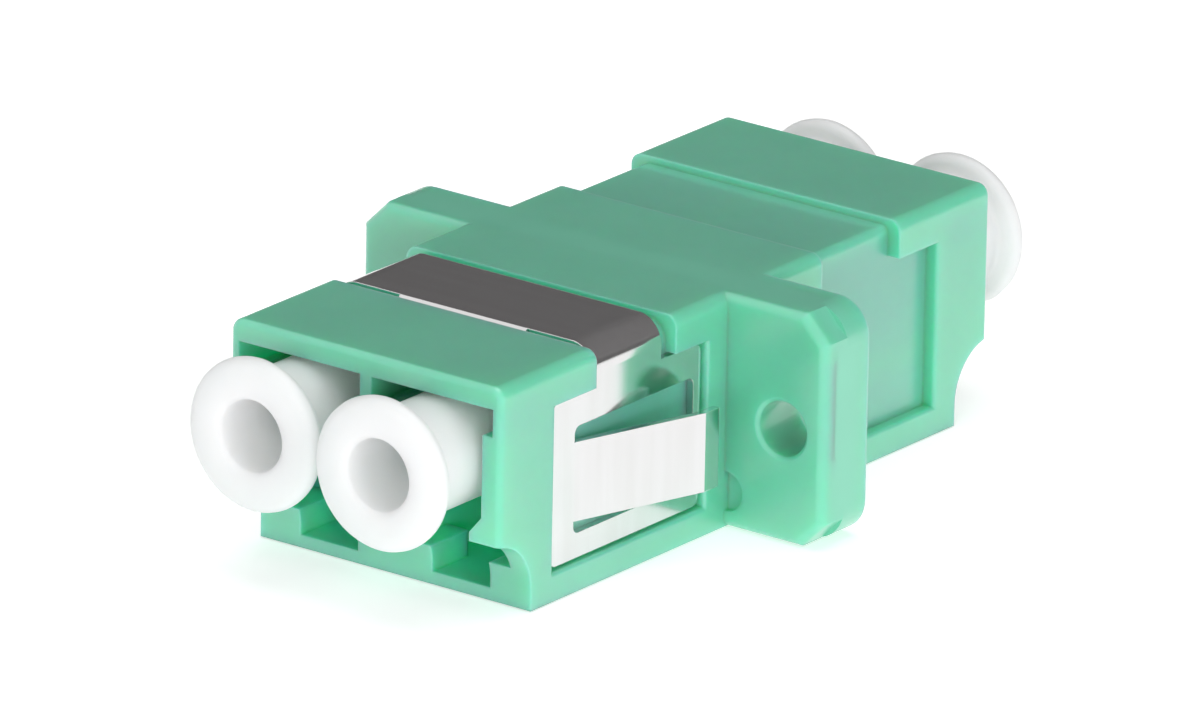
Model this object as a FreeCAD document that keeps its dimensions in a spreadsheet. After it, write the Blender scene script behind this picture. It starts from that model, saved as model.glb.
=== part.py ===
import FreeCAD, Part
import os

import Sketcher
from FreeCAD import Vector

# Duplex fibre adapter with two ports at each end, made to fill a single rectangular panel cutout.
# X runs across the two ports, Y along the fibres with the panel clip towards -Y, and Z is up.
# The origin is at the middle of the flat underside, and the weld seam lies in the plane Y = 0.
# A distance along the fibres is counted from that seam, towards either end.

SIZES = (
    ("plug_size", 4.5, "side of the square plug that the ports take"),
    ("play_across", 0.3, "plug to cavity, across"),
    ("play_upwards", 0.22, "plug to cavity, upwards"),
    ("port_pitch", 6.25, "between the two port axes"),
    ("side_wall", 0.875, "cavity to body side"),
    ("roof_thickness", 0.85, "cavity to top face"),
    ("rail_thickness", 0.8, "rails that carry the plug"),
    ("rail_reach", 0.55, "how far each rail stands into the cavity"),
    ("rail_slope", 0.33, "rise and fall of the rail's sloping top from its middle"),
    ("latch_room", 1.38, "underside of the rails to the latch catches"),
    ("catch_height", 1.05, "latch catches above the floor"),
    ("catch_reach", 1.03, "how far each catch stands into the cavity"),
    ("catch_depth", 4.2, "end face to the face that holds the latch"),
    ("floor_thickness", 0.5, "floor under the latch"),
    ("mouth_step", 0.47, "extra width of the mouth on each side"),
    ("mouth_height", 1.1, "height of the wider part, down from the ceiling"),
    ("mouth_depth", 2.4, "depth of the wider part"),
    ("middle_wall", 1.6, "seam to the bottom of the plug cavity"),
    ("half_length", 15.4, "seam to end face"),
    ("scallop_reach", 2.0, "how far the finger scallop sets the bottom edge back"),
    ("scallop_high", 3.05, "top of the finger scallop"),
    ("scallop_radius", 2.2, "radius of the finger scallop"),
    ("screw_offset", 2.6, "flange hole axis outside the body side, for a pitch of 18.0"),
    ("screw_height", 4.5, "flange hole axis above the underside"),
    ("screw_hole", 2.2, "hole diameter"),
    ("hole_bevel", 0.12, "bevel at the mouth of each flange hole"),
    ("ear_margin", 2.0, "flange hole axis to the end of the ear"),
    ("flange_half", 1.37, "flange thickness on each half"),
    ("ear_chamfer", 1.05, "cut ear corners of the front half"),
    ("ear_radius", 1.4, "rounded ear corners of the rear half"),
    ("ear_edge", 0.35, "round along the front edge of the chamfered ears"),
    ("mark_diameter", 1.6, "ejector mark at the root of each ear"),
    ("mark_offset", 0.05, "mark centre outside the body side"),
    ("mark_height", 1.45, "mark centre above the underside"),
    ("mark_depth", 0.25, "depth of the ejector mark"),
    ("key_reach", 0.7, "how far the rear ear steps over the seam"),
    ("key_width", 0.6, "width of that step at the ear end"),
    ("key_low", 2.9, "foot of the step at the seam"),
    ("key_high", 7.35, "head of the step"),
    ("recess_gap", 1.23, "flange to the near wall of the side recess"),
    ("recess_end", 3.35, "end face to the far wall of the side recess"),
    ("recess_low", 1.1, "bottom of the side recess"),
    ("recess_drop", 1.5, "top face to the shoulder of the side recess"),
    ("recess_depth", 0.55, "recess depth in each side"),
    ("recess_rim", 0.15, "round on the rims of the side recess"),
    ("channel_gap", 2.0, "near wall of the recess to the near wall of the channel"),
    ("channel_end", 2.5, "far wall of the recess to the far wall of the channel"),
    ("channel_depth", 0.28, "channel depth in the top face"),
    ("saddle_radius", 0.8, "round between channel and side recess under the clip"),
    ("bare_saddle_radius", 0.35, "the same round on the half without a clip"),
    ("long_radius", 0.5, "round on the long top edges"),
    ("corner_radius", 0.25, "round on the upright end corners"),
    ("sleeve_diameter", 1.62, "outside of the split sleeve"),
    ("sleeve_bore", 1.25, "bore of the split sleeve"),
    ("sleeve_length", 6.8, "length of the split sleeve"),
    ("sleeve_slit", 0.3, "width of its slit"),
    ("sleeve_clearance", 0.05, "round the sleeve and at its ends"),
    ("holder_wall", 0.59, "wall of the sleeve holder"),
    ("holder_lip", 0.5, "lip that keeps the sleeve in"),
    ("ferrule_clearance", 0.05, "lip to ferrule"),
    ("holder_bevel", 0.3, "lead-in at the mouth of the holder"),
    ("sheet", 0.3, "clip sheet thickness"),
    ("clip_clearance", 0.1, "between the clip's edges and the recess"),
    ("clip_lift", 0.05, "gap under the clip's bridge"),
    ("bridge_gap", 0.6, "near wall of the channel to the bridge"),
    ("bridge_end", 0.15, "far wall of the channel to the bridge"),
    ("stub_width", 6.0, "stub of the carrier strip on the bridge"),
    ("stub_reach", 0.13, "how far that stub stands out"),
    ("stub_bevel", 0.12, "torn edge of the stub"),
    ("frame_near", 0.45, "side plate between its near edge and the window"),
    ("frame_far", 1.45, "side plate between its far edge and the window"),
    ("frame_low", 1.0, "side plate under the window"),
    ("frame_high", 1.25, "side plate over the window"),
    ("window_radius", 0.3, "corners of the window"),
    ("plate_radius", 0.4, "corners of the side plate"),
    ("slot_low", 0.5, "window under the spring tongue"),
    ("slot_high", 0.6, "window over the spring tongue"),
    ("tip_gap", 0.75, "near edge of the window to the tongue's tip"),
    ("tip_length", 0.85, "straight tip of the tongue"),
    ("tongue_spread", 1.8, "how far the tongue stands out"),
    ("head_gap", 0.2, "between the heads of two neighbouring dust caps"),
    ("head_thickness", 0.75, "thickness of a dust cap's head"),
    ("head_bevel", 0.22, "bevels on the rim of the head"),
    ("head_flare", 0.25, "flare from the stem into the back of the head"),
    ("stem_play", 0.1, "how much thinner than a plug the stem is"),
    ("stem_gap", 1.5, "end of the deepest stem to the sleeve holder"),
    ("stem_bevel", 0.4, "bevel on the inner end of the stem"),
    ("cap_hole", 2.85, "blind hole in the head"),
    ("cap_hole_depth", 7.5, "depth of that hole"),
    ("front_left_stand", 2.95, "cap face in front of the housing"),
    ("front_right_stand", 3.3, "cap face in front of the housing"),
    ("rear_left_stand", 2.8, "cap face behind the housing"),
    ("rear_right_stand", 2.8, "cap face behind the housing"),
)


class Size:
    """A number together with the sheet expression that it comes from."""

    def __init__(self, text, value):
        self.text = text
        self.value = value

    def joined(self, sign, other, value):
        text = other.text if isinstance(other, Size) else repr(float(other))
        return Size("(%s %s %s)" % (self.text, sign, text), value)

    def __add__(self, other):
        return self.joined("+", other, self.value + number(other))

    def __sub__(self, other):
        return self.joined("-", other, self.value - number(other))

    def __mul__(self, other):
        return self.joined("*", other, self.value * number(other))

    def __truediv__(self, other):
        return self.joined("/", other, self.value / number(other))

    def __neg__(self):
        return Size("(0 - %s)" % self.text, -self.value)


def number(item):
    return item.value if isinstance(item, Size) else float(item)


def bind(thing, path, size):
    thing.setExpression(path, size.text)


doc = FreeCAD.newDocument("duplex_fibre_adapter")
sheet = doc.addObject("Spreadsheet::Sheet", "Sizes")
S = {}
for row, (alias, value, note) in enumerate(SIZES, start=1):
    sheet.set("A%d" % row, alias)
    sheet.set("B%d" % row, str(value))
    sheet.set("C%d" % row, note)
    sheet.setAlias("B%d" % row, alias)
    S[alias] = Size("Sizes.%s" % alias, value)
doc.recompute()

ZERO = Size("0", 0.0)
TINY = 1e-5
BEYOND = 2.0
PORTS = {"left": -1, "right": 1}

# Heights add up from the floor through the latch, the rails and the plug to the top face.
CATCH_TOP = S["floor_thickness"] + S["catch_height"]
RAIL_UNDERSIDE = CATCH_TOP + S["latch_room"]
RAIL_TOP = RAIL_UNDERSIDE + S["rail_thickness"]
CAVITY_HEIGHT = S["plug_size"] + S["play_upwards"]
PORT_HEIGHT = RAIL_TOP + CAVITY_HEIGHT / 2
CEILING = RAIL_TOP + CAVITY_HEIGHT
TOP = CEILING + S["roof_thickness"]

# Widths add up from the port axes through the cavity and its wall to the ear.
CAVITY_HALF = (S["plug_size"] + S["play_across"]) / 2
PORT_OFFSET = S["port_pitch"] / 2
HALF_WIDTH = PORT_OFFSET + CAVITY_HALF + S["side_wall"]
SCREW_OFFSET = HALF_WIDTH + S["screw_offset"]
EAR_END = SCREW_OFFSET + S["ear_margin"]

# The clip's seat, as distances from the seam and from the outer faces.
RECESS_NEAR = S["flange_half"] + S["recess_gap"]
RECESS_FAR = S["half_length"] - S["recess_end"]
SHOULDER = TOP - S["recess_drop"]
SIDE_FLOOR = HALF_WIDTH - S["recess_depth"]
CHANNEL_NEAR = RECESS_NEAR + S["channel_gap"]
CHANNEL_FAR = RECESS_FAR - S["channel_end"]
CHANNEL_FLOOR = TOP - S["channel_depth"]

# The sleeve fills its two holders end to end.
SEAT_DEPTH = S["sleeve_length"] / 2 + S["sleeve_clearance"]
HOLDER_FAR = SEAT_DEPTH + S["holder_lip"]


# Sketches and features

def new_body(name):
    body = doc.addObject("PartDesign::Body", name)
    body.Label = name
    return body


def new_sketch(body, name, plane, offset=ZERO):
    """A sketch on one of the body's own origin planes, moved along the plane's normal."""
    sketch = body.newObject("Sketcher::SketchObject", name)
    support = [item for item in body.Origin.OriginFeatures if item.Role == plane][0]
    sketch.AttachmentSupport = [(support, "")]
    sketch.MapMode = "FlatFace"
    bind(sketch, "AttachmentOffset.Base.z", offset)
    return sketch


def pin_point(sketch, geometry, place, point):
    """Tie one point of the sketch to its two coordinates."""
    for kind, size in zip(("DistanceX", "DistanceY"), point):
        constraint = Sketcher.Constraint(kind, -1, 1, geometry, place, size.value)
        index = sketch.addConstraint(constraint)
        bind(sketch, "Constraints[%d]" % index, size)


def outline(sketch, points):
    """A closed outline of straight lines through the points."""
    first = sketch.GeometryCount
    places = [Vector(x.value, y.value, 0) for x, y in points]
    for start, end in zip(places, places[1:] + places[:1]):
        sketch.addGeometry(Part.LineSegment(start, end), False)
    last = first + len(points) - 1
    for index in range(first, last + 1):
        following = first if index == last else index + 1
        sketch.addConstraint(Sketcher.Constraint("Coincident", index, 2, following, 1))
    for index, point in enumerate(points):
        pin_point(sketch, first + index, 1, point)


def rectangle(sketch, x_low, x_high, y_low, y_high):
    outline(sketch, [(x_low, y_low), (x_high, y_low), (x_high, y_high), (x_low, y_high)])


def circle(sketch, centre, diameter):
    middle = Vector(centre[0].value, centre[1].value, 0)
    index = sketch.addGeometry(Part.Circle(middle, Vector(0, 0, 1), diameter.value / 2), False)
    pin_point(sketch, index, 3, centre)
    constraint = Sketcher.Constraint("Diameter", index, diameter.value)
    bind(sketch, "Constraints[%d]" % sketch.addConstraint(constraint), diameter)


def extrude(body, kind, name, sketch, length, flip=False, both_ways=False):
    """A pad or a pocket that must change the body's volume."""
    before = body.Shape.Volume if body.Tip else 0.0
    feature = body.newObject("PartDesign::%s" % kind, name)
    feature.Profile = sketch
    bind(feature, "Length", length)
    feature.Reversed = flip
    if both_ways:
        feature.SideType = "Symmetric"
    doc.recompute()
    if abs(body.Shape.Volume - before) < TINY:
        raise RuntimeError("%s changes nothing in %s" % (name, body.Label))
    return feature


def straight_edge_at(x=None, y=None, z=None):
    """Picks straight edges whose two ends both lie at the given coordinates."""
    wanted = [(axis, number(size)) for axis, size in enumerate((x, y, z)) if size is not None]

    def picks(edge):
        if edge.Curve.TypeId != "Part::GeomLine":
            return False
        ends = [vertex.Point for vertex in edge.Vertexes]
        return all(abs(end[axis] - value) < TINY for end in ends for axis, value in wanted)
    return picks


def round_edge_at(y, radius):
    """Picks round edges in the plane Y = y with the given radius."""
    def picks(edge):
        if edge.Curve.TypeId != "Part::GeomCircle":
            return False
        near = abs(edge.Curve.Center.y - number(y)) < TINY
        return near and abs(edge.Curve.Radius - number(radius)) < TINY
    return picks


def dress(body, kind, name, size, tests):
    """A fillet or a chamfer on every edge of the body that one of the tests picks."""
    base = body.Tip
    names = ["Edge%d" % (index + 1) for index, edge in enumerate(base.Shape.Edges)
             if any(test(edge) for test in tests)]
    if not names:
        raise RuntimeError("%s finds no edge on %s" % (name, body.Label))
    feature = body.newObject("PartDesign::%s" % kind, name)
    feature.Base = (base, names)
    bind(feature, "Radius" if kind == "Fillet" else "Size", size)
    doc.recompute()
    return feature


# Housing halves

class Half:
    """One moulded half: turns distances from the seam into places for its end of the adapter."""

    def __init__(self, name, end):
        self.body = new_body(name)
        self.end = end

    def along(self, distance):
        """The Y of a distance from the seam."""
        return distance if self.end > 0 else -distance

    def upright(self, name, distance=ZERO):
        """A sketch across the adapter, at a distance from the seam."""
        return new_sketch(self.body, name, "XZ_Plane", -self.along(distance))

    def lengthwise(self, name, offset=ZERO):
        """A sketch along the adapter, at an offset to the side."""
        return new_sketch(self.body, name, "YZ_Plane", offset)

    def pad_outwards(self, name, sketch, length):
        return extrude(self.body, "Pad", name, sketch, length, flip=self.end > 0)

    def cut_inwards(self, name, sketch, length):
        return extrude(self.body, "Pocket", name, sketch, length, flip=self.end > 0)

    def cut_outwards(self, name, sketch, length):
        return extrude(self.body, "Pocket", name, sketch, length, flip=self.end < 0)

    def cut_across(self, name, sketch, length):
        return extrude(self.body, "Pocket", name, sketch, length, both_ways=True)


def make_flange(half, chamfered):
    """The ears: cut corners on the front half, round ones on the rear half."""
    cut = S["ear_chamfer"]
    foot, head = EAR_END - cut, TOP - cut
    sketch = half.upright("flange_outline")
    if chamfered:
        outline(sketch, [(-foot, ZERO), (foot, ZERO), (EAR_END, cut), (EAR_END, head),
                         (foot, TOP), (-foot, TOP), (-EAR_END, head), (-EAR_END, cut)])
    else:
        rectangle(sketch, -EAR_END, EAR_END, ZERO, TOP)
    half.pad_outwards("flange", sketch, S["flange_half"])
    if not chamfered:
        corners = [straight_edge_at(x=EAR_END * side, z=height)
                   for side in PORTS.values() for height in (ZERO, TOP)]
        dress(half.body, "Fillet", "ear_corners", S["ear_radius"], corners)
    else:
        rim = straight_edge_at(y=half.along(S["flange_half"]))
        dress(half.body, "Fillet", "ear_edges", S["ear_edge"], [rim])


def make_ear_details(half):
    """Ejector marks at the ear roots and the two screw holes with their bevels."""
    marks = half.upright("mark_outline", S["flange_half"])
    for side in PORTS.values():
        circle(marks, ((HALF_WIDTH + S["mark_offset"]) * side, S["mark_height"]), S["mark_diameter"])
    half.cut_inwards("ejector_marks", marks, S["mark_depth"])
    holes = half.upright("hole_outline")
    for side in PORTS.values():
        circle(holes, (SCREW_OFFSET * side, S["screw_height"]), S["screw_hole"])
    half.cut_outwards("screw_holes", holes, S["flange_half"])
    mouth = round_edge_at(half.along(S["flange_half"]), S["screw_hole"] / 2)
    dress(half.body, "Chamfer", "hole_mouths", S["hole_bevel"], [mouth])


def make_block(half):
    """The body of the half, padded from the seam to the end face, with the finger scallop."""
    block = half.upright("block_outline")
    rectangle(block, -HALF_WIDTH, HALF_WIDTH, ZERO, TOP)
    half.pad_outwards("block", block, S["half_length"])
    foot = S["half_length"] - S["scallop_reach"]
    centre = (half.along(foot + S["scallop_radius"]), S["scallop_high"] - S["scallop_radius"])
    bowl = half.lengthwise("scallop_outline")
    circle(bowl, centre, S["scallop_radius"] * 2)
    half.cut_across("scallop", bowl, HALF_WIDTH * 2 + BEYOND)
    skirt = half.lengthwise("set_back_outline")
    rectangle(skirt, half.along(foot), half.along(S["half_length"] + BEYOND), ZERO - BEYOND, centre[1])
    half.cut_across("set_back", skirt, HALF_WIDTH * 2 + BEYOND)


def make_clip_seat(half, saddle):
    """The channel over the top and the recess in each side, joined by a round saddle."""
    near, far = half.along(CHANNEL_NEAR), half.along(CHANNEL_FAR)
    above = TOP + BEYOND
    channel = half.lengthwise("channel_outline")
    rectangle(channel, near, far, CHANNEL_FLOOR, above)
    half.cut_across("channel", channel, HALF_WIDTH * 2 + BEYOND)
    plate_near, plate_far, low = half.along(RECESS_NEAR), half.along(RECESS_FAR), S["recess_low"]
    for label, side in PORTS.items():
        recess = half.lengthwise("%s_recess_outline" % label, SIDE_FLOOR * side)
        outline(recess, [(plate_near, low), (plate_far, low), (plate_far, SHOULDER), (far, SHOULDER),
                         (far, above), (near, above), (near, SHOULDER), (plate_near, SHOULDER)])
        extrude(half.body, "Pocket", "%s_recess" % label, recess, S["recess_depth"] + BEYOND, flip=side > 0)
    rims = [straight_edge_at(x=HALF_WIDTH * side, y=wall)
            for side in PORTS.values() for wall in (plate_near, plate_far)]
    rims += [straight_edge_at(x=HALF_WIDTH * side, z=low) for side in PORTS.values()]
    dress(half.body, "Fillet", "recess_rims", S["recess_rim"], rims)
    saddles = [straight_edge_at(x=SIDE_FLOOR * side, z=CHANNEL_FLOOR) for side in PORTS.values()]
    dress(half.body, "Fillet", "saddles", saddle, saddles)


def port_section(axis):
    """Section of one port at its mouth: cavity, rails, latch slot and the gap between the catches."""
    rail, catch, slope = CAVITY_HALF - S["rail_reach"], CAVITY_HALF - S["catch_reach"], S["rail_slope"]
    right = [(CAVITY_HALF, CEILING), (CAVITY_HALF, RAIL_TOP + slope), (rail, RAIL_TOP - slope),
             (rail, RAIL_UNDERSIDE), (CAVITY_HALF, RAIL_UNDERSIDE), (CAVITY_HALF, CATCH_TOP),
             (catch, CATCH_TOP), (catch, S["floor_thickness"])]
    left = [(-x, z) for x, z in reversed(right)]
    return [(axis + x, z) for x, z in right + left]


def make_ports(half):
    """Both ports: the section above, its wider mouth, and the pocket where the latch springs out."""
    holding_face = S["half_length"] - S["catch_depth"]
    wide = CAVITY_HALF + S["mouth_step"]
    ports = half.upright("port_outline", S["half_length"])
    mouths = half.upright("mouth_outline", S["half_length"])
    latches = half.upright("latch_outline", holding_face)
    for side in PORTS.values():
        axis = PORT_OFFSET * side
        outline(ports, port_section(axis))
        rectangle(mouths, axis - wide, axis + wide, CEILING - S["mouth_height"], CEILING)
        rectangle(latches, axis - CAVITY_HALF, axis + CAVITY_HALF, S["floor_thickness"], RAIL_UNDERSIDE)
    half.cut_inwards("ports", ports, S["half_length"] - S["middle_wall"])
    half.cut_inwards("port_mouths", mouths, S["mouth_depth"])
    half.cut_inwards("latch_pockets", latches, holding_face - S["middle_wall"])


def make_sleeve_holders(half):
    """A boss in each port that holds one end of the split sleeve behind a lip."""
    seat = S["sleeve_diameter"] + S["sleeve_clearance"] * 2
    boss = seat + S["holder_wall"] * 2
    lip = S["sleeve_bore"] + S["ferrule_clearance"] * 2
    bosses = half.upright("holder_outline", S["middle_wall"] / 2)
    seats = half.upright("seat_outline")
    lips = half.upright("lip_outline")
    for side in PORTS.values():
        centre = (PORT_OFFSET * side, PORT_HEIGHT)
        circle(bosses, centre, boss)
        circle(seats, centre, seat)
        circle(lips, centre, lip)
    half.pad_outwards("sleeve_holders", bosses, HOLDER_FAR - S["middle_wall"] / 2)
    half.cut_outwards("sleeve_seats", seats, SEAT_DEPTH)
    half.cut_outwards("ferrule_holes", lips, HOLDER_FAR)
    mouth = half.along(HOLDER_FAR)
    rims = [round_edge_at(mouth, boss / 2), round_edge_at(mouth, lip / 2)]
    dress(half.body, "Chamfer", "holder_lead_ins", S["holder_bevel"], rims)


def make_seam_key(half, reaches_over):
    """At each ear's end the rear half steps over the seam, and the front half has the notch for it."""
    sketch = half.lengthwise("key_outline", EAR_END - S["key_width"])
    mirror = half.lengthwise("key_outline_left", -EAR_END + S["key_width"])
    reach = -S["key_reach"]
    points = [(ZERO, S["key_low"]), (ZERO, S["key_high"]), (reach, S["key_high"]),
              (reach, S["key_low"] + S["key_reach"])]
    outline(sketch, points)
    outline(mirror, points)
    kind = "Pad" if reaches_over else "Pocket"
    extrude(half.body, kind, "seam_key_right", sketch, S["key_width"], flip=not reaches_over)
    extrude(half.body, kind, "seam_key_left", mirror, S["key_width"], flip=reaches_over)


def soften_housing(half):
    """Rounds on the long top edges and on the upright corners of the end face."""
    long_edges = [straight_edge_at(x=HALF_WIDTH * side, z=TOP) for side in PORTS.values()]
    dress(half.body, "Fillet", "long_edges", S["long_radius"], long_edges)
    end_face = half.along(S["half_length"])
    corners = [straight_edge_at(x=HALF_WIDTH * side, y=end_face) for side in PORTS.values()]
    dress(half.body, "Fillet", "end_corners", S["corner_radius"], corners)


def make_housing(name, end):
    half = Half(name, end)
    make_flange(half, chamfered=end < 0)
    make_ear_details(half)
    make_block(half)
    make_clip_seat(half, S["saddle_radius"] if end < 0 else S["bare_saddle_radius"])
    make_ports(half)
    make_sleeve_holders(half)
    make_seam_key(half, reaches_over=end > 0)
    soften_housing(half)
    return half.body


# Panel clip

def make_clip():
    """A folded spring steel strip: a bridge over the top, a framed plate and a tongue on each side."""
    body = new_body("panel_clip")
    outer = SIDE_FLOOR + S["sheet"]
    under = CHANNEL_FLOOR + S["clip_lift"]
    top = under + S["sheet"]
    plate_low = S["recess_low"] + S["clip_clearance"]
    plate_high = SHOULDER - S["clip_clearance"]
    plate_near = RECESS_NEAR + S["clip_clearance"]
    plate_far = RECESS_FAR - S["clip_clearance"]
    bridge_near = CHANNEL_NEAR + S["bridge_gap"]
    bridge_far = CHANNEL_FAR - S["bridge_end"]
    window_low, window_high = plate_low + S["frame_low"], plate_high - S["frame_high"]
    window_near, window_far = plate_near + S["frame_near"], plate_far - S["frame_far"]

    fold = new_sketch(body, "fold_outline", "XZ_Plane", plate_near)
    outline(fold, [(-outer, plate_low), (-SIDE_FLOOR, plate_low), (-SIDE_FLOOR, under), (SIDE_FLOOR, under),
                   (SIDE_FLOOR, plate_low), (outer, plate_low), (outer, top), (-outer, top)])
    extrude(body, "Pad", "folded_strip", fold, plate_far - plate_near)
    inner_bends = [straight_edge_at(x=SIDE_FLOOR * side, z=under) for side in PORTS.values()]
    outer_bends = [straight_edge_at(x=outer * side, z=top) for side in PORTS.values()]
    dress(body, "Fillet", "inner_bends", S["saddle_radius"], inner_bends)
    dress(body, "Fillet", "outer_bends", S["saddle_radius"] + S["sheet"], outer_bends)

    trims = new_sketch(body, "trim_outline", "YZ_Plane")
    rectangle(trims, -plate_far - BEYOND, -bridge_far, plate_high, top + BEYOND)
    rectangle(trims, -bridge_near, -plate_near + BEYOND, plate_high, top + BEYOND)
    extrude(body, "Pocket", "bridge_trim", trims, HALF_WIDTH * 2 + BEYOND, both_ways=True)
    window = new_sketch(body, "window_outline", "YZ_Plane")
    rectangle(window, -window_far, -window_near, window_low, window_high)
    extrude(body, "Pocket", "windows", window, HALF_WIDTH * 2 + BEYOND, both_ways=True)

    corners = [straight_edge_at(y=-edge, z=height)
               for edge in (window_far, window_near) for height in (window_low, window_high)]
    dress(body, "Fillet", "window_corners", S["window_radius"], corners)
    corners = [straight_edge_at(y=-edge, z=height)
               for edge in (plate_far, plate_near) for height in (plate_low, plate_high)]
    corners.append(straight_edge_at(y=-bridge_far, z=plate_high))
    dress(body, "Fillet", "plate_corners", S["plate_radius"], corners)

    # Each tongue is rooted in the far end of its window, leans out and ends in a short straight tip.
    root = window_far + S["window_radius"]
    tip = window_near + S["tip_gap"]
    bend = tip + S["tip_length"]
    spread = SIDE_FLOOR + S["tongue_spread"]
    tongue_low, tongue_high = window_low + S["slot_low"], window_high - S["slot_high"]
    for label, side in PORTS.items():
        tongue = new_sketch(body, "%s_tongue_outline" % label, "XY_Plane", tongue_low)
        outline(tongue, [(SIDE_FLOOR * side, -root), (SIDE_FLOOR * side, -window_far),
                         (spread * side, -bend), (spread * side, -tip),
                         ((spread + S["sheet"]) * side, -tip), ((spread + S["sheet"]) * side, -bend),
                         (outer * side, -window_far), (outer * side, -root)])
        extrude(body, "Pad", "%s_tongue" % label, tongue, tongue_high - tongue_low)

    # The stub is what is left of the strip that carried the blank through the press.
    stub = new_sketch(body, "stub_outline", "YZ_Plane")
    front = -bridge_far - S["stub_reach"]
    outline(stub, [(-bridge_far, under), (-bridge_far, top),
                   (front + S["stub_bevel"], top), (front, top - S["stub_bevel"]), (front, under)])
    extrude(body, "Pad", "carrier_stub", stub, S["stub_width"], both_ways=True)
    return body


# Split sleeves and dust caps

def make_sleeve(label, side):
    """A zirconia tube slit along its length, laid across the seam in both holders."""
    body = new_body("%s_alignment_sleeve" % label)
    tube = new_sketch(body, "tube_outline", "XZ_Plane")
    circle(tube, (ZERO, ZERO), S["sleeve_diameter"])
    circle(tube, (ZERO, ZERO), S["sleeve_bore"])
    extrude(body, "Pad", "tube", tube, S["sleeve_length"], both_ways=True)
    slit = new_sketch(body, "slit_outline", "XZ_Plane")
    half_slit = S["sleeve_slit"] / 2
    rectangle(slit, -half_slit, half_slit, ZERO, S["sleeve_diameter"])
    extrude(body, "Pocket", "slit", slit, S["sleeve_length"] + BEYOND, both_ways=True)
    bind(body, "Placement.Base.x", PORT_OFFSET * side)
    bind(body, "Placement.Base.z", PORT_HEIGHT)
    return body


def make_cap(end_label, end, label, side):
    """A turned-looking moulded plug: round head, blind hole in its face, plain stem in the port."""
    body = new_body("%s_%s_dust_cap" % (end_label, label))
    head, hole = (S["port_pitch"] - S["head_gap"]) / 2, S["cap_hole"] / 2
    stem = (S["plug_size"] - S["stem_play"]) / 2
    face, back = S["head_bevel"], -S["head_thickness"] * end
    tip = -(S["half_length"] + S["rear_left_stand"] - HOLDER_FAR - S["stem_gap"]) * end
    profile = new_sketch(body, "cap_profile", "XY_Plane")
    outline(profile, [(hole + face, ZERO), (head - face, ZERO), (head, -face * end),
                      (head, back + face * end),
                      (head - face, back), (stem + S["head_flare"], back),
                      (stem, back - S["head_flare"] * end), (stem, tip + S["stem_bevel"] * end),
                      (stem - S["stem_bevel"], tip), (ZERO, tip), (ZERO, -S["cap_hole_depth"] * end),
                      (hole, -S["cap_hole_depth"] * end), (hole, -face * end)])
    turned = body.newObject("PartDesign::Revolution", "turned")
    turned.Profile = profile
    turned.ReferenceAxis = (profile, ["V_Axis"])
    turned.Angle = 360
    doc.recompute()
    stand = S["%s_%s_stand" % (end_label, label)]
    bind(body, "Placement.Base.x", PORT_OFFSET * side)
    bind(body, "Placement.Base.y", (S["half_length"] + stand) * end)
    bind(body, "Placement.Base.z", PORT_HEIGHT)
    return body


# Assembly

nodes = [make_housing("front_housing", -1), make_housing("rear_housing", 1), make_clip()]
for label, side in PORTS.items():
    nodes.append(make_sleeve(label, side))
for end_label, end in (("front", -1), ("rear", 1)):
    for label, side in PORTS.items():
        nodes.append(make_cap(end_label, end, label, side))
doc.recompute()

for item in doc.Objects:
    if "Invalid" in item.State or "Error" in item.State:
        raise RuntimeError("%s failed: %s" % (item.Label, item.State))
for node in nodes:
    if node.Shape.isNull() or not node.Shape.isValid() or len(node.Shape.Solids) != 1:
        raise RuntimeError("%s is not one valid solid" % node.Label)

os.makedirs("parts", exist_ok=True)
for node in nodes:
    node.Shape.exportStep("parts/%s.step" % node.Label)
    print("%-22s %9.3f mm3" % (node.Label, node.Shape.Volume))
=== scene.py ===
import math

import bmesh
import bpy
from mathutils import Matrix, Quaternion, Vector


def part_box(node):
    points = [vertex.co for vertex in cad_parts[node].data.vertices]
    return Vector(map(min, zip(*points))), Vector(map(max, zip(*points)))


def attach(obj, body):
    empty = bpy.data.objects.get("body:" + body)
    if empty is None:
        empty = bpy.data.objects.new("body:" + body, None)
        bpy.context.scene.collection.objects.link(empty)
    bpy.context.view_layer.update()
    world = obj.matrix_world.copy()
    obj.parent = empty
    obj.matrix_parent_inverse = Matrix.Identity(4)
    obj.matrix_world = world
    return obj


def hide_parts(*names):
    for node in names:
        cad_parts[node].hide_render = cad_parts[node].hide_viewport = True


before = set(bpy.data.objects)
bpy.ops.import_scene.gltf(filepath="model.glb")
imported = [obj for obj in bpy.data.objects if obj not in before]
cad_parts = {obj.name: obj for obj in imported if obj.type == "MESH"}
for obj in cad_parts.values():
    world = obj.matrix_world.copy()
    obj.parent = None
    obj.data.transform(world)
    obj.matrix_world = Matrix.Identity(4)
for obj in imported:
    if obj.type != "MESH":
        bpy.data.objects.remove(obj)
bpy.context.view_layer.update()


# The housing: two halves moulded in glossy, slightly milky green plastic and welded at the flange.
# On the ports' inner walls the colour is painted a stronger, lighter green: a painted glow in place of
# the light that enters the ports. At the weld the two halves have melted into one, so no edge shows
# there and the plastic is less clear.
HOUSING_GREEN = (0.155, 0.6, 0.405, 1.0)
HOUSING_DEEP_GREEN = (0.145, 0.57, 0.385, 1.0)
HOUSING_CLOUDS = 260
HOUSING_GLOW = (0.3, 1.0, 0.65)
HOUSING_GLOW_DEPTH = 0.002
HOUSING_IOR = 1.57
HOUSING_ROUGHNESS = (0.31, 0.39)
HOUSING_STREAKS = 900
HOUSING_SKIN = 0.85
HOUSING_SKIN_IOR = 1.6
HOUSING_SKIN_ROUGHNESS = 0.22
HOUSING_PITS = 2500
HOUSING_PIT_DEPTH = 0.0000008
HOUSING_EDGE = 0.00016
# The lighter green painted on the ports' inner walls: a painted glow, not the plastic's own colour.
PORT_PAINTED_GLOW_GREEN = (0.12, 0.96, 0.55, 1.0)
PORT_HALF_SPAN = 0.00565
PORT_HALF_HEIGHT = 0.0041
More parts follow.
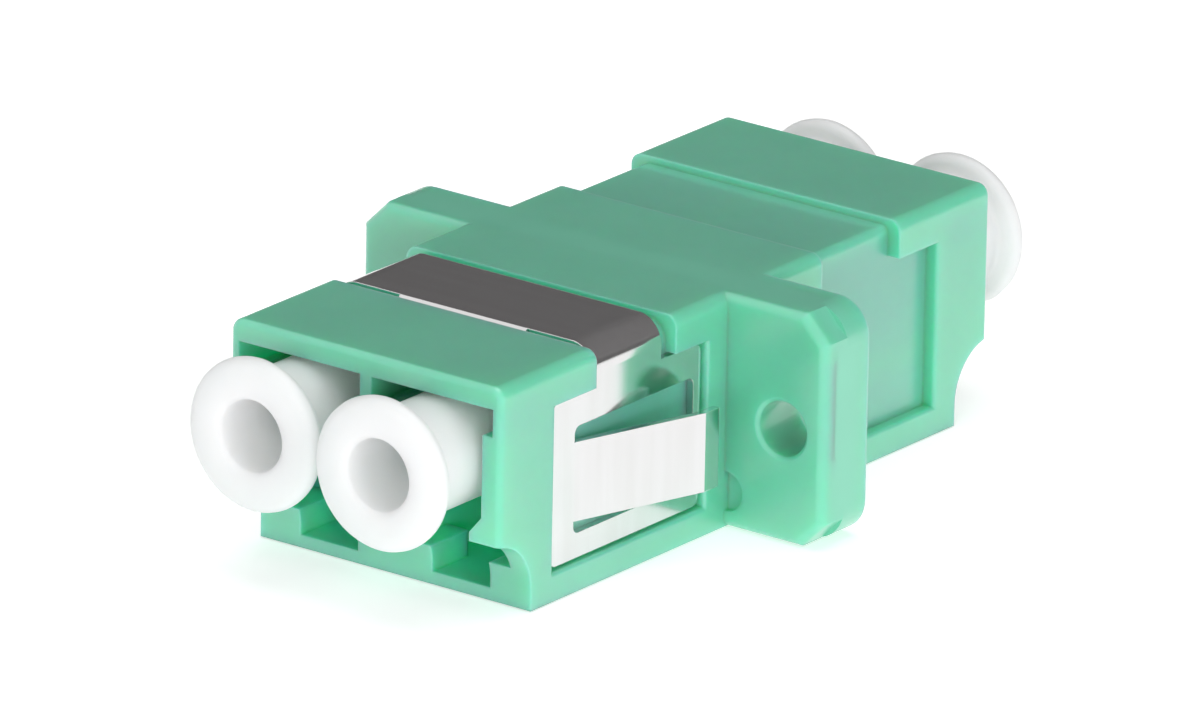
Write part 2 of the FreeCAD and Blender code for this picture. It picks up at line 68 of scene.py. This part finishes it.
PORT_MIDDLE_HEIGHT = 0.0045
BLEND_LOW, BLEND_HIGH = 0.35, 0.65
EDGE_SAMPLES = 6
# Distances from the weld, towards either end.
# The first pair is where the painted glow in the ports is full and where it ends.
PORT_PAINTED_GLOW_FULL, PORT_PAINTED_GLOW_ENDS = 0.01175, 0.01335
ROUND_EDGES_START, ROUND_EDGES_FULL = 0.00078, 0.0011
GLOW_STARTS, GLOW_FULL = 0.0004, 0.001


def link(tree, source, target):
    tree.links.new(source, target)


def new_finish(name):
    """A new material with its node tree and its Principled shader, joined to the output."""
    material = bpy.data.materials.new(name)
    material.use_nodes = True
    tree = material.node_tree
    shader = tree.nodes["Principled BSDF"]
    return material, tree, shader


def grain(tree, scale, stretch=(1, 1, 1), detail=3.0):
    """Noise in the object's frame, with a scale in grains per metre."""
    place = tree.nodes.new("ShaderNodeTexCoord")
    mapping = tree.nodes.new("ShaderNodeMapping")
    mapping.inputs["Scale"].default_value = stretch
    noise = tree.nodes.new("ShaderNodeTexNoise")
    noise.inputs["Scale"].default_value = scale
    noise.inputs["Detail"].default_value = detail
    link(tree, place.outputs["Object"], mapping.inputs["Vector"])
    link(tree, mapping.outputs["Vector"], noise.inputs["Vector"])
    return noise.outputs["Fac"]


def two_colours(tree, pattern, first, second):
    """The pattern blends from the first colour to the second."""
    ramp = tree.nodes.new("ShaderNodeValToRGB")
    ramp.color_ramp.elements[0].position = BLEND_LOW
    ramp.color_ramp.elements[0].color = first
    ramp.color_ramp.elements[1].position = BLEND_HIGH
    ramp.color_ramp.elements[1].color = second
    link(tree, pattern, ramp.inputs["Fac"])
    return ramp.outputs["Color"]


def between(tree, pattern, low, high):
    """The pattern turned into a number between low and high."""
    span = tree.nodes.new("ShaderNodeMapRange")
    span.inputs["To Min"].default_value = low
    span.inputs["To Max"].default_value = high
    link(tree, pattern, span.inputs["Value"])
    return span.outputs["Result"]


def relief(tree, shader, pattern, depth):
    """The pattern raises the surface by a depth in metres. What comes back is the socket for the
    radius to which sharp edges shade as round."""
    edge = tree.nodes.new("ShaderNodeBevel")
    edge.samples = EDGE_SAMPLES
    bump = tree.nodes.new("ShaderNodeBump")
    bump.inputs["Distance"].default_value = depth
    link(tree, pattern, bump.inputs["Height"])
    link(tree, edge.outputs["Normal"], bump.inputs["Normal"])
    link(tree, bump.outputs["Normal"], shader.inputs["Normal"])
    return edge.inputs["Radius"]


def coordinates(tree):
    """X, Y and Z of the surface in the object's frame, in metres."""
    place = tree.nodes.new("ShaderNodeTexCoord")
    parts = tree.nodes.new("ShaderNodeSeparateXYZ")
    link(tree, place.outputs["Object"], parts.inputs["Vector"])
    return parts.outputs


def away_from_weld(tree, start, end, near, far):
    """A number that goes from near to far between two distances from the weld, towards either end."""
    distance = tree.nodes.new("ShaderNodeMath")
    distance.operation = "ABSOLUTE"
    link(tree, coordinates(tree)["Y"], distance.inputs[0])
    fade = tree.nodes.new("ShaderNodeMapRange")
    fade.interpolation_type = "SMOOTHSTEP"
    fade.inputs["From Min"].default_value = start
    fade.inputs["From Max"].default_value = end
    fade.inputs["To Min"].default_value = near
    fade.inputs["To Max"].default_value = far
    link(tree, distance.outputs["Value"], fade.inputs["Value"])
    return fade.outputs["Result"]


def painted_glow_in_ports(tree):
    """The mask of the painted glow: rises from 0 at the mouths of the ports to 1 on their inner walls,
    and is 0 outside.
    """
    inside = away_from_weld(tree, PORT_PAINTED_GLOW_FULL, PORT_PAINTED_GLOW_ENDS, 1.0, 0.0)
    for axis, middle, reach in (("X", 0.0, PORT_HALF_SPAN), ("Z", PORT_MIDDLE_HEIGHT, PORT_HALF_HEIGHT)):
        near = tree.nodes.new("ShaderNodeMath")
        near.operation = "COMPARE"
        near.inputs[1].default_value = middle
        near.inputs[2].default_value = reach
        link(tree, coordinates(tree)[axis], near.inputs[0])
        both = tree.nodes.new("ShaderNodeMath")
        both.operation = "MULTIPLY"
        link(tree, inside, both.inputs[0])
        link(tree, near.outputs["Value"], both.inputs[1])
        inside = both.outputs["Value"]
    return inside


def green_plastic():
    material, tree, shader = new_finish("green_moulding")
    outside = two_colours(tree, grain(tree, HOUSING_CLOUDS), HOUSING_DEEP_GREEN, HOUSING_GREEN)
    # The ports' inner walls are painted the lighter green, a painted glow.
    painted_glow = tree.nodes.new("ShaderNodeMix")
    painted_glow.data_type = "RGBA"
    painted_glow.inputs["B"].default_value = PORT_PAINTED_GLOW_GREEN
    link(tree, painted_glow_in_ports(tree), painted_glow.inputs["Factor"])
    link(tree, outside, painted_glow.inputs["A"])
    link(tree, painted_glow.outputs["Result"], shader.inputs["Base Color"])
    streaks = grain(tree, HOUSING_STREAKS)
    link(tree, between(tree, streaks, *HOUSING_ROUGHNESS), shader.inputs["Roughness"])
    shader.inputs["IOR"].default_value = HOUSING_IOR
    milky = away_from_weld(tree, GLOW_STARTS, GLOW_FULL, 0.0, 1.0)
    link(tree, milky, shader.inputs["Subsurface Weight"])
    shader.inputs["Subsurface Radius"].default_value = HOUSING_GLOW
    shader.inputs["Subsurface Scale"].default_value = HOUSING_GLOW_DEPTH
    shader.inputs["Coat Weight"].default_value = HOUSING_SKIN
    shader.inputs["Coat IOR"].default_value = HOUSING_SKIN_IOR
    shader.inputs["Coat Roughness"].default_value = HOUSING_SKIN_ROUGHNESS
    rounding = relief(tree, shader, grain(tree, HOUSING_PITS, detail=2.0), HOUSING_PIT_DEPTH)
    edges = away_from_weld(tree, ROUND_EDGES_START, ROUND_EDGES_FULL, 0.0, HOUSING_EDGE)
    link(tree, edges, rounding)
    return material


def finish_node(node, material):
    """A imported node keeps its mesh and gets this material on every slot."""
    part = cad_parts[node]
    if not part.material_slots:
        part.data.materials.append(material)
    for slot in part.material_slots:
        slot.material = material


housing_finish = green_plastic()
for half in ("front_housing", "rear_housing"):
    finish_node(half, housing_finish)


# The panel clip: one strip of bright cold-rolled stainless spring steel, folded over the front half.
# The rolling left a fine grain along the strip, with lines that are a little paler and rougher.
CLIP_STEEL = (0.7, 0.69, 0.69, 1.0)
CLIP_PALE_STEEL = (0.73, 0.72, 0.725, 1.0)
CLIP_LINES = 1500
CLIP_LINE_STRETCH = (0.06, 1, 0.06)
CLIP_ROUGHNESS = (0.08, 0.13)
CLIP_LINE_DEPTH = 0.0000004
CLIP_EDGE = 0.00005


def rolled_steel():
    material, tree, shader = new_finish("rolled_stainless")
    lines = grain(tree, CLIP_LINES, stretch=CLIP_LINE_STRETCH, detail=5.0)
    link(tree, two_colours(tree, lines, CLIP_STEEL, CLIP_PALE_STEEL), shader.inputs["Base Color"])
    link(tree, between(tree, lines, *CLIP_ROUGHNESS), shader.inputs["Roughness"])
    shader.inputs["Metallic"].default_value = 1.0
    relief(tree, shader, lines, CLIP_LINE_DEPTH).default_value = CLIP_EDGE
    return material


finish_node("panel_clip", rolled_steel())


# The two split sleeves: white zirconia, ground smooth. They lie across the weld inside the housing,
# in the holders that line up the ferrules, and nothing of them shows from outside.
SLEEVE_WHITE = (0.86, 0.86, 0.83, 1.0)
SLEEVE_CREAM = (0.82, 0.81, 0.77, 1.0)
SLEEVE_RINGS = 3000
SLEEVE_RING_STRETCH = (1, 0.1, 1)
SLEEVE_ROUGHNESS = (0.1, 0.18)
SLEEVE_IOR = 2.1
SLEEVE_RING_DEPTH = 0.0000005
SLEEVE_EDGE = 0.00005


def ground_zirconia():
    material, tree, shader = new_finish("ground_zirconia")
    rings = grain(tree, SLEEVE_RINGS, stretch=SLEEVE_RING_STRETCH)
    link(tree, two_colours(tree, rings, SLEEVE_WHITE, SLEEVE_CREAM), shader.inputs["Base Color"])
    link(tree, between(tree, rings, *SLEEVE_ROUGHNESS), shader.inputs["Roughness"])
    shader.inputs["IOR"].default_value = SLEEVE_IOR
    relief(tree, shader, rings, SLEEVE_RING_DEPTH).default_value = SLEEVE_EDGE
    return material


sleeve_finish = ground_zirconia()
for side in ("left", "right"):
    finish_node("%s_alignment_sleeve" % side, sleeve_finish)


# Four dust caps: plugs moulded in soft white polyethylene, round all the way, with a blind hole in the
# face. Each is pushed into its port by hand, so they stand out by slightly different amounts.
CAP_HEAD_THICKNESS = 0.00075
CAP_STEM_RADIUS = 0.0022
CAP_STEM_BEVEL = 0.0004
CAP_FLARE = 0.00025
CAP_HOLE_RADIUS = 0.001425
CAP_HOLE_DEPTH = 0.0075
CAP_HOLE_TAPER = 0.00008
CAP_RIM_ROUND = 0.00036
CAP_MOUTH_ROUND = 0.00018
CAP_ROUND_SEGMENTS = 4
CAP_STEPS = 96
CAP_MERGE_DISTANCE = 0.0000001
CAP_RING_TOLERANCE = 0.000001
CAP_WHITE = (0.935, 0.925, 0.938, 1.0)
CAP_MILKY = (0.92, 0.91, 0.92, 1.0)
CAP_CLOUDS = 400
CAP_GLOW = (1.0, 0.95, 0.9)
CAP_GLOW_DEPTH = 0.0025
CAP_IOR = 1.51
CAP_ROUGHNESS = (0.34, 0.46)
CAP_STREAKS = 1400
CAP_PITS = 3000
CAP_PIT_DEPTH = 0.0000008
CAP_EDGE = 0.0001


def white_polyethylene():
    material, tree, shader = new_finish("soft_white_polyethylene")
    clouds = grain(tree, CAP_CLOUDS)
    link(tree, two_colours(tree, clouds, CAP_MILKY, CAP_WHITE), shader.inputs["Base Color"])
    link(tree, between(tree, grain(tree, CAP_STREAKS), *CAP_ROUGHNESS), shader.inputs["Roughness"])
    shader.inputs["IOR"].default_value = CAP_IOR
    shader.inputs["Subsurface Weight"].default_value = 1.0
    shader.inputs["Subsurface Radius"].default_value = CAP_GLOW
    shader.inputs["Subsurface Scale"].default_value = CAP_GLOW_DEPTH
    relief(tree, shader, grain(tree, CAP_PITS, detail=2.0), CAP_PIT_DEPTH).default_value = CAP_EDGE
    return material


def lies_on_ring(point, radius, along):
    """Whether a point, taken from the cap's axis, lies on the ring of this radius there."""
    return (abs(math.hypot(point.x, point.z) - radius) < CAP_RING_TOLERANCE
            and abs(point.y - along) < CAP_RING_TOLERANCE)


def dust_cap(node, end, material):
    """Half the cap's section spun round the port's axis, then the hole's mouth and the rim rounded."""
    low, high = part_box(node)
    axis = Vector(((low.x + high.x) / 2, 0, (low.z + high.z) / 2))
    head = (high.x - low.x) / 2
    face, tip = (high.y, low.y) if end > 0 else (low.y, high.y)
    back = face - CAP_HEAD_THICKNESS * end
    bottom = face - CAP_HOLE_DEPTH * end
    mouth = ((CAP_HOLE_RADIUS, face),)
    rim = ((head, face), (head, back))
    section = (
        (0, bottom), (CAP_HOLE_RADIUS - CAP_HOLE_TAPER, bottom), *mouth, *rim,
        (CAP_STEM_RADIUS + CAP_FLARE, back), (CAP_STEM_RADIUS, back - CAP_FLARE * end),
        (CAP_STEM_RADIUS, tip + CAP_STEM_BEVEL * end), (CAP_STEM_RADIUS - CAP_STEM_BEVEL, tip), (0, tip),
    )
    mesh = bmesh.new()
    points = [mesh.verts.new(axis + Vector((radius, along, 0))) for radius, along in section]
    edges = [mesh.edges.new(pair) for pair in zip(points, points[1:])]
    bmesh.ops.spin(mesh, geom=points + edges, cent=axis, axis=(0, 1, 0), angle=math.tau,
                   steps=CAP_STEPS, use_merge=True)
    bmesh.ops.remove_doubles(mesh, verts=mesh.verts, dist=CAP_MERGE_DISTANCE)
    bmesh.ops.recalc_face_normals(mesh, faces=mesh.faces)
    for rings, rounding in ((mouth, CAP_MOUTH_ROUND), (rim, CAP_RIM_ROUND)):
        sharp = [edge for edge in mesh.edges if any(
            all(lies_on_ring(vert.co - axis, radius, along) for vert in edge.verts)
            for radius, along in rings)]
        bmesh.ops.bevel(mesh, geom=sharp, offset=rounding, affect="EDGES", segments=CAP_ROUND_SEGMENTS,
                        profile=0.5, material=-1, clamp_overlap=True)
    for polygon in mesh.faces:
        polygon.smooth = True
    data = bpy.data.meshes.new(node.replace("dust_cap", "cap"))
    mesh.to_mesh(data)
    mesh.free()
    data.materials.append(material)
    piece = bpy.data.objects.new(data.name, data)
    bpy.context.collection.objects.link(piece)
    weighted = piece.modifiers.new("even_shading", "WEIGHTED_NORMAL")
    weighted.keep_sharp = True
    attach(piece, node.replace("_dust_cap", "_cap"))
    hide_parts(node)


cap_finish = white_polyethylene()
for end_name, end in (("front", -1), ("rear", 1)):
    for side in ("left", "right"):
        dust_cap("%s_%s_dust_cap" % (end_name, side), end, cap_finish)


# The table: a large sheet of white paper in a white room. The camera sees both as plain white, and
# glossy surfaces as pale, so that only the soft contact shadow under the adapter stays.
TABLE_SIZE = (4.0, 4.0)
TABLE_LEVEL = -0.00005
TABLE_WHITE = (0.9, 0.9, 0.9, 1.0)
TABLE_SEEN_WHITE = 0.5
TABLE_MIRRORED_WHITE = 0.27


def sees_background(tree, camera=1.0, mirrored=1.0, otherwise=0.0):
    """One value for rays from the camera, one for those off gloss or through glass, one for the rest."""
    path = tree.nodes.new("ShaderNodeLightPath")
    off_gloss = tree.nodes.new("ShaderNodeMath")
    off_gloss.operation = "MAXIMUM"
    link(tree, path.outputs["Is Glossy Ray"], off_gloss.inputs[0])
    link(tree, path.outputs["Is Transmission Ray"], off_gloss.inputs[1])
    straight = tree.nodes.new("ShaderNodeMapRange")
    link(tree, path.outputs["Is Camera Ray"], straight.inputs["Value"])
    link(tree, between(tree, off_gloss.outputs["Value"], otherwise, mirrored), straight.inputs["To Min"])
    straight.inputs["To Max"].default_value = camera
    return straight.outputs["Result"]


def white_paper():
    material = bpy.data.materials.new("white_table")
    material.use_nodes = True
    tree = material.node_tree
    tree.nodes.clear()
    paper = tree.nodes.new("ShaderNodeBsdfDiffuse")
    paper.inputs["Color"].default_value = TABLE_WHITE
    glow = tree.nodes.new("ShaderNodeEmission")
    both = tree.nodes.new("ShaderNodeAddShader")
    output = tree.nodes.new("ShaderNodeOutputMaterial")
    link(tree, sees_background(tree, TABLE_SEEN_WHITE, TABLE_MIRRORED_WHITE), glow.inputs["Strength"])
    link(tree, paper.outputs["BSDF"], both.inputs[0])
    link(tree, glow.outputs["Emission"], both.inputs[1])
    link(tree, both.outputs["Shader"], output.inputs["Surface"])
    return material


def studio_sheet(name, size, level, material):
    """A flat rectangular sheet, which belongs to the studio and not to the adapter."""
    sheet = bmesh.new()
    bmesh.ops.create_grid(sheet, x_segments=1, y_segments=1, size=0.5)
    bmesh.ops.scale(sheet, vec=(*size, 1), verts=sheet.verts)
    bmesh.ops.translate(sheet, vec=(0, 0, level), verts=sheet.verts)
    data = bpy.data.meshes.new(name)
    sheet.to_mesh(data)
    sheet.free()
    data.materials.append(material)
    piece = bpy.data.objects.new(name, data)
    bpy.context.collection.objects.link(piece)
    return piece


table = studio_sheet("table", TABLE_SIZE, TABLE_LEVEL, white_paper())


# The light: a wide softbox low under the camera shines into the ports, and glossy surfaces don't mirror
# it. Two weaker ones and a light table, which shines up round the adapter, help. A dark flag stands
# behind, where top faces and the clip's bridge mirror it.
ROOM_LEVEL = 0.38
ROOM_WHITE = (1.0, 1.0, 1.0, 1.0)
AIM = Vector((0, 0, 0.0045))
UP = Vector((0, 0, 1))
LAMPS = {
    "low_softbox": {"place": (0.3, -0.33, 0.055), "size": (0.7, 0.11), "power": 1.38, "mirrored": False},
    "right_softbox": {"place": (0.46, 0.1, 0.1), "size": (0.6, 0.2), "power": 0.25, "mirrored": True},
    "overhead_softbox": {"place": (0.0, 0.05, 0.5), "size": (0.5, 0.5), "power": 1.2, "mirrored": True},
    "light_table": {"place": (0.0, 0.0, -0.00002), "size": (0.4, 0.4), "power": 0.14, "mirrored": True},
}
FLAG_PLACE = Vector((-0.05, 0.3, 0.19))
FLAG_SIZE = (1.2, 0.4)
FLAG_GREY = (0.19, 0.185, 0.185, 1.0)

for name, facts in LAMPS.items():
    light = bpy.data.lights.new(name, "AREA")
    light.shape = "RECTANGLE"
    light.size, light.size_y = facts["size"]
    light.energy = facts["power"]
    lamp = bpy.data.objects.new(name, light)
    lamp.location = facts["place"]
    lamp.rotation_mode = "QUATERNION"
    shines = UP if name == "light_table" else AIM - lamp.location
    lamp.rotation_quaternion = (-shines).to_track_quat("Z", "Y")
    lamp.visible_glossy = facts["mirrored"]
    bpy.context.collection.objects.link(lamp)

flag_cloth, _, flag_shader = new_finish("black_flag")
flag_shader.inputs["Base Color"].default_value = FLAG_GREY
flag = studio_sheet("black_flag", FLAG_SIZE, 0, flag_cloth)
flag.location = FLAG_PLACE
flag.rotation_mode = "QUATERNION"
flag.rotation_quaternion = (AIM - FLAG_PLACE).to_track_quat("Z", "Y")
flag.visible_camera = False

room = bpy.data.worlds.new("white_room")
room.use_nodes = True
room_tree = room.node_tree
backdrop = room_tree.nodes["Background"]
link(room_tree, sees_background(room_tree, otherwise=ROOM_LEVEL), backdrop.inputs["Strength"])
backdrop.inputs["Color"].default_value = ROOM_WHITE
bpy.context.scene.world = room


# The camera stands off at the photograph's angle with a long lens, turned about one degree.
CAMERA_AZIMUTH = math.radians(36.756)
CAMERA_ELEVATION = math.radians(19.552)
CAMERA_ROLL = math.radians(1.087)
CAMERA_DISTANCE = 0.7538
CAMERA_LENS = 595.9
CAMERA_SENSOR = 36
CAMERA_NEAR, CAMERA_FAR = 0.05, 20
LOOKS_AT = Vector((-0.000597, 0, 0.004718))

towards = Vector((math.sin(CAMERA_AZIMUTH) * math.cos(CAMERA_ELEVATION),
                  -math.cos(CAMERA_AZIMUTH) * math.cos(CAMERA_ELEVATION), math.sin(CAMERA_ELEVATION)))
lens = bpy.data.cameras.new("camera")
lens.lens = CAMERA_LENS
lens.sensor_width = CAMERA_SENSOR
lens.clip_start, lens.clip_end = CAMERA_NEAR, CAMERA_FAR
camera = bpy.data.objects.new("camera", lens)
camera.location = LOOKS_AT + towards * CAMERA_DISTANCE
camera.rotation_mode = "QUATERNION"
camera.rotation_quaternion = towards.to_track_quat("Z", "Y") @ Quaternion((0, 0, 1), CAMERA_ROLL)
bpy.context.collection.objects.link(camera)
bpy.context.scene.camera = camera
bpy.context.scene.view_settings.view_transform = "Standard"
